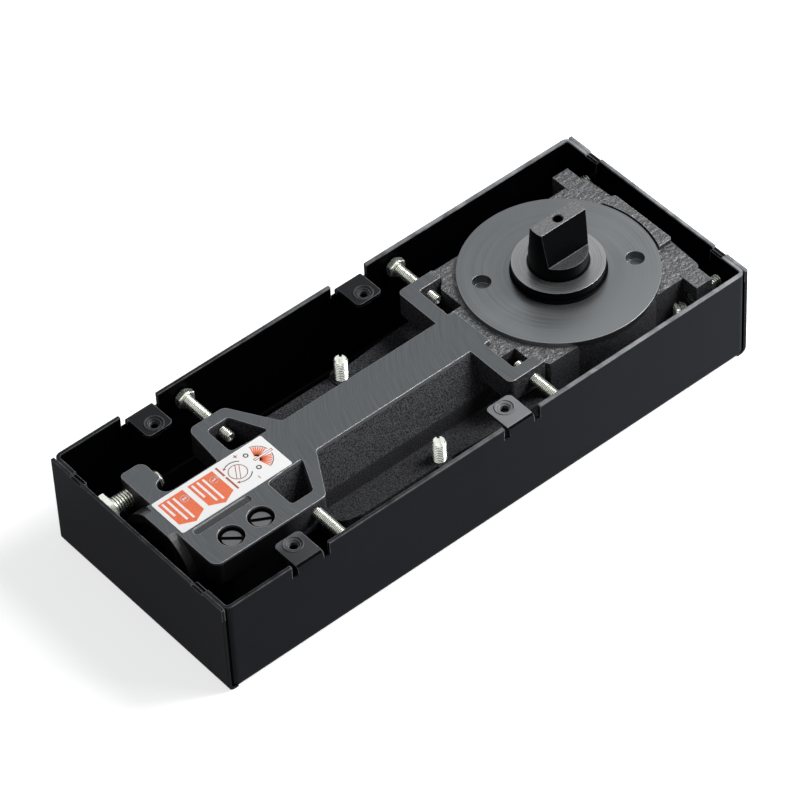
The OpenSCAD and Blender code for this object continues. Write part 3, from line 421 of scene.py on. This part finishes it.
# Painted shade: the collar's side and foot are painted near black and not metallic; only its top
# keeps the turned steel.
unshaded_collar_top = times(collar_steel, spread(collar_steel, up_facing, 0.3, 0.8),
                 over(collar_steel, collar_z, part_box("spindle_collar")[1].z - 0.0008))
wire(collar_steel, shade(collar_steel, unshaded_collar_top, (0.002, 0.002, 0.003), colour), skin,
     "Base Color")
wire(collar_steel, times(collar_steel, unshaded_collar_top, steel_metallic), skin, "Metallic")
skin.inputs["Specular IOR Level"].default_value = 0.02
coat("spindle_collar", collar_steel)

# ---- Spindle -----------------------------------------------------------------------
# Hardened steel bar, blackened, with two tapered flats for the door strap and a tapped hole;
# the end is ground back to grey, the two crescent ledges less so, with a painted highlight along
# its edges.
spindle_steel, skin = new_finish("blackened_spindle", IOR=1.5)
skin.inputs["Specular IOR Level"].default_value = 0.02
coords = shader(spindle_steel, "TexCoord")
at = coords.outputs["Object"]
place = axes_of(spindle_steel, at)
up_facing = axes_of(spindle_steel, coords.outputs["Normal"])[2]
ground = times(spindle_steel, spread(spindle_steel, up_facing, 0.6, 0.9),
               spread(spindle_steel, place[2], high.z - 0.008, high.z - 0.002, 0.35, 1.0))
speck = grain(spindle_steel, at, 1300, 3, 0.7)
drawn = shader(spindle_steel, "CombineXYZ", X=times(spindle_steel, place[0], 300.0),
               Y=times(spindle_steel, place[1], 300.0),
               Z=times(spindle_steel, place[2], 2400.0)).outputs[0]
tool = grain(spindle_steel, drawn, 1.0, 2.0, 0.5)
oxide = shade(spindle_steel, tool, (0.0008, 0.0009, 0.0013), (0.0026, 0.0028, 0.0036))
bared = shade(spindle_steel, spread(spindle_steel, speck, 0.35, 0.65), (0.11, 0.115, 0.12),
              (0.22, 0.226, 0.232))
rounded, glint = edge_glint(spindle_steel, edge_radius)
steel_skin = shade(spindle_steel, ground, oxide, bared)
# Painted highlight: the spindle's edges are painted pale grey.
steel_skin = shade(spindle_steel, times(spindle_steel, glint, 0.5), steel_skin,
                   (0.28, 0.285, 0.29))
wire(spindle_steel, steel_skin, skin, "Base Color")
wire(spindle_steel, times(spindle_steel, ground, 0.85), skin, "Metallic")
wire(spindle_steel, spread(spindle_steel, speck, 0.3, 0.7, 0.36, 0.48), skin, "Roughness")
wire(spindle_steel, relief(spindle_steel, speck, 0.00003, 0.6, rounded), skin, "Normal")
coat("spindle", spindle_steel)

# ---- Setting screws ----------------------------------------------------------------
# Rolled steel screws, bright zinc plated with a faint yellow-green bloom: hexagon heads at
# the long walls, a flanged hexagon at the front end wall, slotted set screws for level and rear.
zinc, skin = new_finish("bright_zinc", Metallic=0.88)
at = shader(zinc, "TexCoord").outputs["Object"]
bloom = grain(zinc, at, 260, 3)
speck = grain(zinc, at, 1800, 2)
plated = shade(zinc, spread(zinc, bloom, 0.35, 0.65), (0.80, 0.83, 0.75), (0.95, 0.97, 0.91))
# Painted shade: the roots of the threads are painted dark.
clear_of_root_shade = spread(zinc, shader(zinc, "NewGeometry").outputs["Pointiness"], 0.46, 0.52)
wire(zinc, shade(zinc, clear_of_root_shade, (0.10, 0.105, 0.085), plated), skin, "Base Color")
wire(zinc, spread(zinc, speck, 0.3, 0.7, 0.20, 0.30), skin, "Roughness")
wire(zinc, relief(zinc, speck, 0.000004, 0.3), skin, "Normal")


def turned_profile(mesh, stations, sides=48, radius_at=None):
    """Skins the rings (height, radius) along +Z and closes both ends."""
    rings = []
    for k, (z, r) in enumerate(stations):
        ring = []
        for i in range(sides):
            a = 2 * math.pi * i / sides
            s = radius_at(k, z, r, a) if radius_at else r
            ring.append(mesh.verts.new((s * math.cos(a), s * math.sin(a), z)))
        rings.append(ring)
    for low, high in zip(rings, rings[1:]):
        for i in range(sides):
            j = (i + 1) % sides
            mesh.faces.new((low[i], low[j], high[j], high[i]))
    mesh.faces.new(tuple(reversed(rings[0])))
    mesh.faces.new(tuple(rings[-1]))


def thread(mesh, start, end, diameter, pitch, chamfers=(True, True), sides=36, cup=False):
    """A right-handed V thread between two heights, with chamfered ends and maybe a cup point."""
    depth = 0.6 * pitch
    steps = max(8, round((end - start) / pitch * 8))

    def flank(k, z, r, a):
        if r:
            return r
        turn = (z / pitch - a / (2 * math.pi)) % 1.0
        groove = max(0.0, 1 - abs(turn - 0.5) / 0.42)
        out = diameter / 2 - depth * min(1.0, groove * 1.12)
        if chamfers[0]:
            out = min(out, diameter / 2 - depth + (z - start))
        if chamfers[1]:
            out = min(out, diameter / 2 - depth + (end - z))
        return out

    point = [(start + 0.2 * diameter, 0.06 * diameter), (start, 0.3 * diameter)] if cup else []
    turned_profile(mesh, point + [(start + (end - start) * k / steps, 0) for k in range(steps + 1)],
                   sides, flank)


def hexagon(mesh, start, end, across_flats):
    """A hexagon head with turned chamfers on the corners of both its faces."""
    flat = across_flats / 2
    h = end - start

    def corner(k, z, r, a):
        edge = flat / math.cos((a + math.pi / 6) % (math.pi / 3) - math.pi / 6)
        return min(edge, r)

    feet = [(start, flat * 0.95), (start + 0.15 * h, flat * 1.155)]
    tops = [(end - 0.18 * h, flat * 1.155), (end - 0.08 * h, flat * 1.07), (end, flat * 0.95)]
    turned_profile(mesh, feet + tops, 72, corner)


def made_of(name, mesh, finish):
    """Puts a piece of the built mesh in the scene, in its finish."""
    data = bpy.data.meshes.new(name)
    mesh.to_mesh(data)
    mesh.free()
    piece = bpy.data.objects.new(name, data)
    bpy.context.scene.collection.objects.link(piece)
    data.materials.append(finish)
    return piece


def fitted(name, mesh, axis_place, direction, finish, body, stands_for=None):
    """Sets a piece made along +Z onto its axis and hangs it on its body."""
    turn = Vector((0, 0, 1)).rotation_difference(Vector(direction)).to_matrix().to_4x4()
    bmesh.ops.recalc_face_normals(mesh, faces=mesh.faces)
    mesh.transform(Matrix.Translation(axis_place) @ turn)
    piece = made_of(name, mesh, finish)
    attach(piece, body)
    if stands_for:
        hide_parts(stands_for)
    return piece


def middle_of(low, high, *axes):
    """The middle of a box along the named axes, and 0 along the others."""
    return Vector([(low[k] + high[k]) / 2 if "xyz"[k] in axes else 0 for k in range(3)])


side_head_af, side_head_t, head_gap = 0.008, 0.0031, 0.0004
m5_d, m5_pitch = 0.0049, 0.0008
for end in ("front", "rear"):
    for side, sign in (("far", 1), ("near", -1)):
        name = f"side_screw_{end}_{side}"
        low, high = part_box(name)
        head_y = high.y if sign > 0 else -low.y
        tip_y = low.y if sign > 0 else -high.y
        metal = bmesh.new()
        hexagon(metal, head_y - head_gap - side_head_t, head_y - head_gap, side_head_af)
        thread(metal, tip_y, head_y - 0.0033, m5_d, m5_pitch, (True, False), cup=True)
        turned_profile(metal, [(head_y - 0.0005, 0.0024), (head_y, 0.0018)], 36)
        fitted(name + "_threaded", metal, middle_of(low, high, "x", "z"), (0, sign, 0), zinc,
               name + "_body", name)

m8_d, m8_pitch = 0.0079, 0.00125
flange_r, flange_t = 0.0075, 0.0022
end_hex_af, end_hex_t = 0.0128, 0.0035
low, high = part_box("end_screw_front")
head = -low.x
metal = bmesh.new()
turned_profile(metal, [(head - flange_t, flange_r - 0.0004), (head - 0.0017, flange_r),
                       (head - 0.0008, flange_r), (head - 0.0002, flange_r - 0.0004),
                       (head, flange_r - 0.0015)], 64)
hexagon(metal, head - 0.0020 - end_hex_t, head - 0.0020, end_hex_af)
thread(metal, -high.x, head - 0.0050, m8_d, m8_pitch, (True, False))
fitted("end_screw_front_threaded", metal, middle_of(low, high, "y", "z"), (-1, 0, 0), zinc,
       "end_screw_front_body", "end_screw_front")


def slotted(piece, corner_low, corner_high, turn, pivot):
    """Mills the screwdriver slot across the end of a screw."""
    cutter = bmesh.new()
    bmesh.ops.create_cube(cutter, size=1)
    size = Vector(corner_high) - Vector(corner_low)
    centre = (Vector(corner_high) + Vector(corner_low)) / 2
    cutter.transform(Matrix.Translation(pivot) @ turn @ Matrix.Translation(centre)
                     @ Matrix.Diagonal((*size, 1)))
    data = bpy.data.meshes.new("slot_cutter")
    cutter.to_mesh(data)
    cutter.free()
    tool = bpy.data.objects.new("slot_cutter", data)
    bpy.context.scene.collection.objects.link(tool)
    cut = piece.modifiers.new("slot", "BOOLEAN")
    cut.object = tool
    cut.solver = "EXACT"
    bpy.context.view_layer.update()
    done = bpy.data.meshes.new_from_object(piece.evaluated_get(
        bpy.context.evaluated_depsgraph_get()))
    piece.modifiers.clear()
    piece.data = done
    bpy.data.objects.remove(tool)


m6_d, m6_pitch = 0.0059, 0.001
slot_half, slot_deep, slot_reach = 0.00065, 0.0018, 0.01
for name, slot_turn in (("levelling_screw_mid_far", 50), ("levelling_screw_mid_near", 60),
                        ("levelling_screw_rear_far", 20), ("levelling_screw_rear_near", 75)):
    low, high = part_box(name)
    middle = middle_of(low, high, "x", "y")
    metal = bmesh.new()
    thread(metal, low.z + 0.0009, high.z, m6_d, m6_pitch)
    turned_profile(metal, [(low.z, 0.0019), (low.z + 0.0010, 0.0024)], 36)
    piece = fitted(name + "_threaded", metal, middle, (0, 0, 1), zinc, name + "_body",
                   name)
    slotted(piece, (-slot_reach, -slot_half, high.z - slot_deep),
            (slot_reach, slot_half, high.z + 0.001),
            Matrix.Rotation(math.radians(slot_turn), 4, "Z"), middle)

for side in ("far", "near"):
    name = "end_screw_rear_" + side
    low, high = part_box(name)
    middle = middle_of(low, high, "y", "z")
    metal = bmesh.new()
    thread(metal, low.x, high.x, m6_d, m6_pitch)
    piece = fitted(name + "_threaded", metal, middle, (1, 0, 0), zinc, name + "_body",
                   name)
    slotted(piece, (high.x - slot_deep, -slot_reach, -slot_half),
            (high.x + 0.001, slot_reach, slot_half), Matrix.Identity(4), middle)

# ---- Speed valves ------------------------------------------------------------------
# Two turned steel needle valves with slotted crowns, sunk below the milled face beside the
# label; phosphated dark, with the crowns rubbed bright.
valve_steel, skin = new_finish("phosphated_valves", Metallic=0.7)
coords = shader(valve_steel, "TexCoord")
at = coords.outputs["Object"]
up_facing = axes_of(valve_steel, coords.outputs["Normal"])[2]
valve_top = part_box("closing_speed_valve")[1].z
speck = grain(valve_steel, at, 1500, 3, 0.7)
wear_and_sheen = times(valve_steel, spread(valve_steel, up_facing, 0.5, 0.9),
               over(valve_steel, axes_of(valve_steel, at)[2], valve_top + 0.0003),
               spread(valve_steel, speck, 0.2, 0.7, 0.6, 1.0))
wire(valve_steel, shade(valve_steel, wear_and_sheen, (0.0025, 0.0025, 0.003), (0.17, 0.174, 0.18)), skin,
     "Base Color")
wire(valve_steel, spread(valve_steel, speck, 0.3, 0.7, 0.34, 0.5), skin, "Roughness")
wire(valve_steel, relief(valve_steel, speck, 0.00002, 0.5), skin, "Normal")
for name in ("closing_speed_valve", "latch_speed_valve"):
    coat(name, valve_steel)

crown_r, crown_t, crown_slot_half = 0.0042, 0.0011, 0.00085
for name, slot_turn in (("closing_speed_valve", -41), ("latch_speed_valve", -31)):
    low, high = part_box(name)
    middle = middle_of(low, high, "x", "y")
    metal = bmesh.new()
    turned_profile(metal, [(high.z - 0.0002, crown_r), (high.z + crown_t - 0.0002, crown_r),
                           (high.z + crown_t, crown_r - 0.0002)])
    piece = fitted(name + "_crown", metal, middle, (0, 0, 1), valve_steel,
                   body_of(nodes[name])[0])
    slotted(piece, (-slot_reach, -crown_slot_half, high.z),
            (slot_reach, crown_slot_half, high.z + 0.002),
            Matrix.Rotation(math.radians(slot_turn), 4, "Z"), middle)


# ---- Tapped tabs -------------------------------------------------------------------
# The four tabs that hold the floor plate are plunged and tapped: a rolled lip stands round
# each hole and the coils of the thread show inside it.
def ring(mesh, radius, wire_r, z, sides=40, steps=10):
    """A round ring of wire about +Z."""
    loops = []
    for i in range(sides):
        a = 2 * math.pi * i / sides
        loops.append([mesh.verts.new(((radius + wire_r * math.cos(b)) * math.cos(a),
                                      (radius + wire_r * math.cos(b)) * math.sin(a),
                                      z + wire_r * math.sin(b)))
                      for b in (2 * math.pi * k / steps for k in range(steps))])
    for loop, after in zip(loops, loops[1:] + loops[:1]):
        for k in range(steps):
            mesh.faces.new((loop[k], loop[k - 1], after[k - 1], after[k]))


tab_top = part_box("cement_box")[1].z - 0.0026
tab_x = [hub.x - reach for reach in (0.1776, 0.0681)]
tab_y = 0.044
coil_count, coil_pitch = 4, 0.0005
for number, (x, side) in enumerate(((x, side) for x in tab_x for side in (1, -1)), 1):
    metal = bmesh.new()
    ring(metal, 0.0040, 0.00035, 0.0)
    ring(metal, 0.0028, 0.00025, -0.00045)
    for coil in range(coil_count):
        ring(metal, 0.0021, 0.0002, -0.001 - coil_pitch * coil)
    fitted(f"tapped_tab_{number}", metal, Vector((x, side * tab_y, tab_top)), (0, 0, 1),
           box_paint, body_of(nodes["cement_box"])[0])

# ---- Adjustment label --------------------------------------------------------------
# Glossy white vinyl sticker on the milled neck, printed in orange and red-brown: which valve
# is which, the way to turn a valve, and the two ranges of the door's swing.
vinyl, skin = new_finish("white_vinyl", Roughness=0.42, IOR=1.46)
at = shader(vinyl, "TexCoord").outputs["Object"]
haze = grain(vinyl, at, 120, 3)
wire(vinyl, shade(vinyl, haze, (0.94, 0.94, 0.93), (0.98, 0.98, 0.97)), skin, "Base Color")
wire(vinyl, relief(vinyl, grain(vinyl, at, 60, 2), 0.00004, 0.3), skin, "Normal")
coat("adjustment_label", vinyl)


def ink(name, dark, light):
    finish, skin = new_finish(name, Roughness=0.45, IOR=1.46)
    dots = grain(finish, shader(finish, "TexCoord").outputs["Object"], 2200, 2)
    wire(finish, shade(finish, spread(finish, dots, 0.35, 0.65), dark, light), skin, "Base Color")
    return finish


orange_ink = ink("orange_ink", (0.82, 0.17, 0.075), (0.93, 0.22, 0.10))
brown_ink = ink("red_brown_ink", (0.36, 0.085, 0.05), (0.50, 0.13, 0.075))
white_ink = ink("white_ink", (0.92, 0.92, 0.91), (0.97, 0.97, 0.96))
low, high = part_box("adjustment_label")
label_mid = Vector(((low.x + high.x) / 2, (low.y + high.y) / 2, high.z))


def printed(name, outlines, finish, lift):
    """Flat printed shapes, each an outline in millimetres from the label's middle."""
    mesh = bmesh.new()
    for points in outlines:
        mesh.faces.new([mesh.verts.new((label_mid.x + x / 1000, label_mid.y + y / 1000,
                                        label_mid.z + lift)) for x, y in points])
    bmesh.ops.triangulate(mesh, faces=mesh.faces)
    bmesh.ops.recalc_face_normals(mesh, faces=mesh.faces)
    piece = made_of(name, mesh, finish)
    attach(piece, body_of(nodes["adjustment_label"])[0])


def stroke(points, width):
    """Outlines of a pen stroke through the points."""
    out = []
    for (ax, ay), (bx, by) in zip(points, points[1:]):
        length = math.hypot(bx - ax, by - ay)
        nx, ny = -(by - ay) / length * width / 2, (bx - ax) / length * width / 2
        ex, ey = ny * 0.7, -nx * 0.7
        out.append([(ax - ex + nx, ay - ey + ny), (ax - ex - nx, ay - ey - ny),
                    (bx + ex - nx, by + ey - ny), (bx + ex + nx, by + ey + ny)])
    return out


def on_circle(cx, cy, r, angle):
    return cx + r * math.cos(math.radians(angle)), cy + r * math.sin(math.radians(angle))


def arc_points(cx, cy, r, start, end, n=24):
    return [on_circle(cx, cy, r, start + (end - start) * k / n) for k in range(n + 1)]


# two orange tags, each with a ringed number and three broken lines
below_ink, first_ink, second_ink = 0.000005, 0.00001, 0.00002
tags = ((-19.85, "2"), (-4.9, "1"))
arrow_tag = ((-6.25, 8.1), (6.25, 8.1), (6.25, -5.65), (0, -8.7), (-6.25, -5.65))
printed("label_tags", [[(mid + x, y) for x, y in arrow_tag] for mid, digit in tags], orange_ink,
        first_ink)
digits = {"1": ((-0.35, 0.5), (0.05, 0.9), (0.05, -0.9)),
          "2": ((-0.5, 0.6), (0, 0.95), (0.5, 0.5), (-0.55, -0.85), (0.6, -0.85))}
line_w = 1.0
marks = []
for mid, digit in tags:
    ring_x, ring_y = mid + 3.95, 3.8
    marks += stroke(arc_points(ring_x, ring_y, 1.75, 0, 360), 0.32)
    marks += stroke([(ring_x + rise, ring_y - run) for run, rise in digits[digit]], 0.38)
    for row, start, end in ((0.65, 6.6, -6.2), (-2.0, 6.8, -5.2), (-4.6, 6.9, -0.6)):
        gap = start + (end - start) * 0.55
        marks += stroke([(mid + row, start), (mid + row, gap + 0.4)], line_w)
        marks += stroke([(mid + row, gap - 0.4), (mid + row, end)], line_w)
printed("label_tag_marks", marks, white_ink, second_ink)

# a slotted screw head between two turning arrows, with plus, minus and two bars
turn_x, turn_y = 8.8, 0.85
head_r, arrow_r = 3.9, 5.7
slot_tilt = math.radians(57.6)
turn_mark = stroke(arc_points(turn_x, turn_y, head_r, 0, 360, 40), 0.35)
tilt_x, tilt_y = math.cos(slot_tilt), math.sin(slot_tilt)
for off in (-0.8, 0.8):
    turn_mark += stroke([(turn_x + end * tilt_x - off * tilt_y,
                          turn_y + end * tilt_y + off * tilt_x) for end in (-3.8, 3.8)], 0.32)
for start, end in ((47, 122), (-40, -120)):
    turn_mark += stroke(arc_points(turn_x, turn_y, arrow_r, start, end), 0.4)
    tip_x, tip_y = on_circle(turn_x, turn_y, arrow_r, end)
    a = math.radians(end + math.copysign(90, end - start))
    turn_mark.append([(tip_x + 1.3 * math.cos(a), tip_y + 1.3 * math.sin(a)),
                      (tip_x - 0.8 * math.sin(a), tip_y + 0.8 * math.cos(a)),
                      (tip_x + 0.8 * math.sin(a), tip_y - 0.8 * math.cos(a))])
turn_mark += stroke([(12.3, 8.0), (13.9, 8.0)], 0.4) + stroke([(13.1, 7.2), (13.1, 8.8)], 0.4)
turn_mark += stroke([(13.4, -7.8), (13.4, -6.4)], 0.4)
for start, end in ((8.0, 2.9), (1.4, -6.0)):
    turn_mark += stroke([(3.4, start), (3.4, end)], 0.9)

# a door seen from above and the two fields that it swings through
pivot_x, pivot_y = 18.6, 1.4
door_end, door_half = 26.6, 0.5
door_mark = stroke([(pivot_x - 1, pivot_y + door_half), (door_end, pivot_y + door_half),
                    (door_end, pivot_y - door_half), (pivot_x - 1, pivot_y - door_half),
                    (pivot_x - 1, pivot_y + door_half)], 0.3)
for side in (1, -1):
    door_mark += stroke(arc_points(pivot_x, pivot_y, 6.9, side * 12, side * 75), 0.35)
    door_mark += stroke(arc_points(16.6, pivot_y + side * 4.2, 0.9, 0, 360, 16), 0.5)
printed("label_turn_mark", turn_mark + door_mark, brown_ink, first_ink)
rays = []
for angle in range(18, 76, 9):
    for side in (1, -1):
        rays += stroke([on_circle(pivot_x, pivot_y, r, side * angle) for r in (1.6, 6.3)], 0.6)
printed("label_swing_fields", rays, orange_ink, below_ink)


# ---- Works inside the casting ------------------------------------------------------
# Cam, piston, spring, bearings and seals: ground and drawn steel, bronze and nitrile, all
# wet with oil and hidden once the cover and the end plug are in.
def metal_stock(name, dark, light, roughness, stretch=(1, 1, 1), metallic=1.0, scale=700):
    finish, skin = new_finish(name, Metallic=metallic)
    stretched = shader(finish, "Mapping", Vector=shader(finish, "TexCoord").outputs["Object"],
                       Scale=stretch).outputs[0]
    cut = grain(finish, stretched, scale, 3, 0.6)
    wire(finish, shade(finish, spread(finish, cut, 0.3, 0.7), dark, light), skin, "Base Color")
    wire(finish, spread(finish, cut, 0.3, 0.7, roughness - 0.05, roughness + 0.07), skin,
         "Roughness")
    wire(finish, relief(finish, cut, 0.00002, 0.5), skin, "Normal")
    return finish


ground_steel = metal_stock("ground_steel", (0.34, 0.35, 0.36), (0.52, 0.53, 0.54), 0.3, (1, 1, 6))
polished_steel = metal_stock("polished_steel", (0.62, 0.63, 0.64), (0.72, 0.73, 0.74), 0.14)
spring_steel = metal_stock("oiled_spring_steel", (0.05, 0.052, 0.058), (0.11, 0.113, 0.12), 0.36,
                           (5, 1, 1), 0.8)
plug_steel = metal_stock("blackened_plug", (0.012, 0.012, 0.013), (0.035, 0.035, 0.038), 0.45,
                         metallic=0.5)
bronze = metal_stock("sintered_bronze", (0.36, 0.21, 0.09), (0.56, 0.36, 0.17), 0.42)
nitrile = metal_stock("nitrile_rubber", (0.012, 0.012, 0.013), (0.026, 0.026, 0.027), 0.62,
                      metallic=0.0)
for finish, names in (
        (ground_steel, ("heart_cam", "cam_key", "piston", "check_valve_cage", "spring_seat")),
        (polished_steel, ("upper_bearing_inner_ring", "upper_bearing_outer_ring",
                          "upper_bearing_balls", "cam_roller", "roller_pin", "check_valve_ball")),
        (spring_steel, ("closing_spring",)), (plug_steel, ("end_plug",)),
        (bronze, ("lower_bearing_bush", "thrust_washer")),
        (nitrile, ("shaft_seal", "cover_o_ring", "end_plug_o_ring", "piston_ring",
                   "closing_valve_o_ring", "latch_valve_o_ring"))):
    for name in names:
        coat(name, finish)

# ---- Closing spring ----------------------------------------------------------------
# Eleven turns of round oil-tempered wire, wound between the seat and the piston; on the real
# closer the coil shortens by the piston's travel as the door opens, here it is wound at one length.
wire_r, turns, steps, sides = 0.0017, 11, 32, 14
low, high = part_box("closing_spring")
axis = middle_of(low, high, "y", "z")
coil_r = (high.z - low.z) / 2 - wire_r
wound_length = high.x - low.x - 2 * wire_r
wound = bmesh.new()
loops = []
for i in range(turns * steps + 1):
    a = 2 * math.pi * i / steps
    along = low.x + wire_r + wound_length * i / (turns * steps)
    loops.append([])
    for k in range(sides):
        b = 2 * math.pi * k / sides
        out = coil_r + wire_r * math.cos(b)
        loops[-1].append(wound.verts.new((along + wire_r * math.sin(b),
                                          axis.y + out * math.cos(a),
                                          axis.z + out * math.sin(a))))
for loop, after in zip(loops, loops[1:]):
    for k in range(sides):
        wound.faces.new((loop[k], loop[k - 1], after[k - 1], after[k]))
wound.faces.new(loops[0])
wound.faces.new(tuple(reversed(loops[-1])))
bmesh.ops.recalc_face_normals(wound, faces=wound.faces)
coil = made_of("closing_spring_coil", wound, spring_steel)
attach(coil, body_of(nodes["closing_spring"])[0])
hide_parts("closing_spring")
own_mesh(coil)
